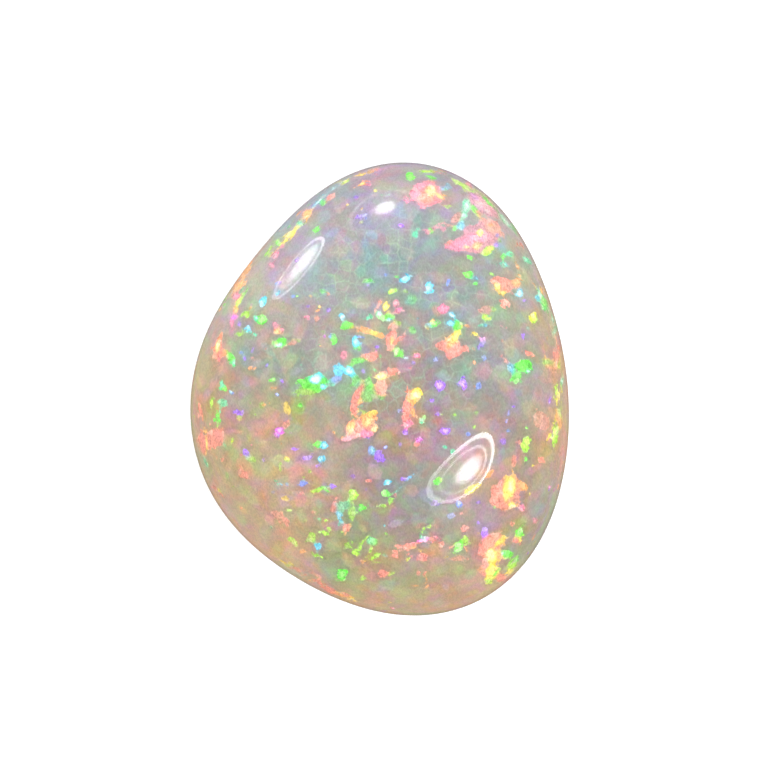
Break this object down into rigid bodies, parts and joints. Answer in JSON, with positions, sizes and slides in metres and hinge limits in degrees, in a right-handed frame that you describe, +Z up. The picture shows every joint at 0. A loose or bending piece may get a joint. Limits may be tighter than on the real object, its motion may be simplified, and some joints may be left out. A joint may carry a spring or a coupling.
{
  "type": "polished free-form opal",
  "caption": "Polished free-form precious opal with a domed face, rounded girdle and flat back, translucent with flashes of colour.",
  "frame": {"origin": "on the resting plane, under the middle of the stone's bounding box", "axes": "+Z up through the dome, +Y along the stone towards its narrower end, +X to the right seen from above"},
  "size_m": [0.0184, 0.022, 0.0082],
  "materials": {
    "opal": "polished"
  },
  "bodies": {
    "root": {"opal": "opal"}
  },
  "joints": []
}
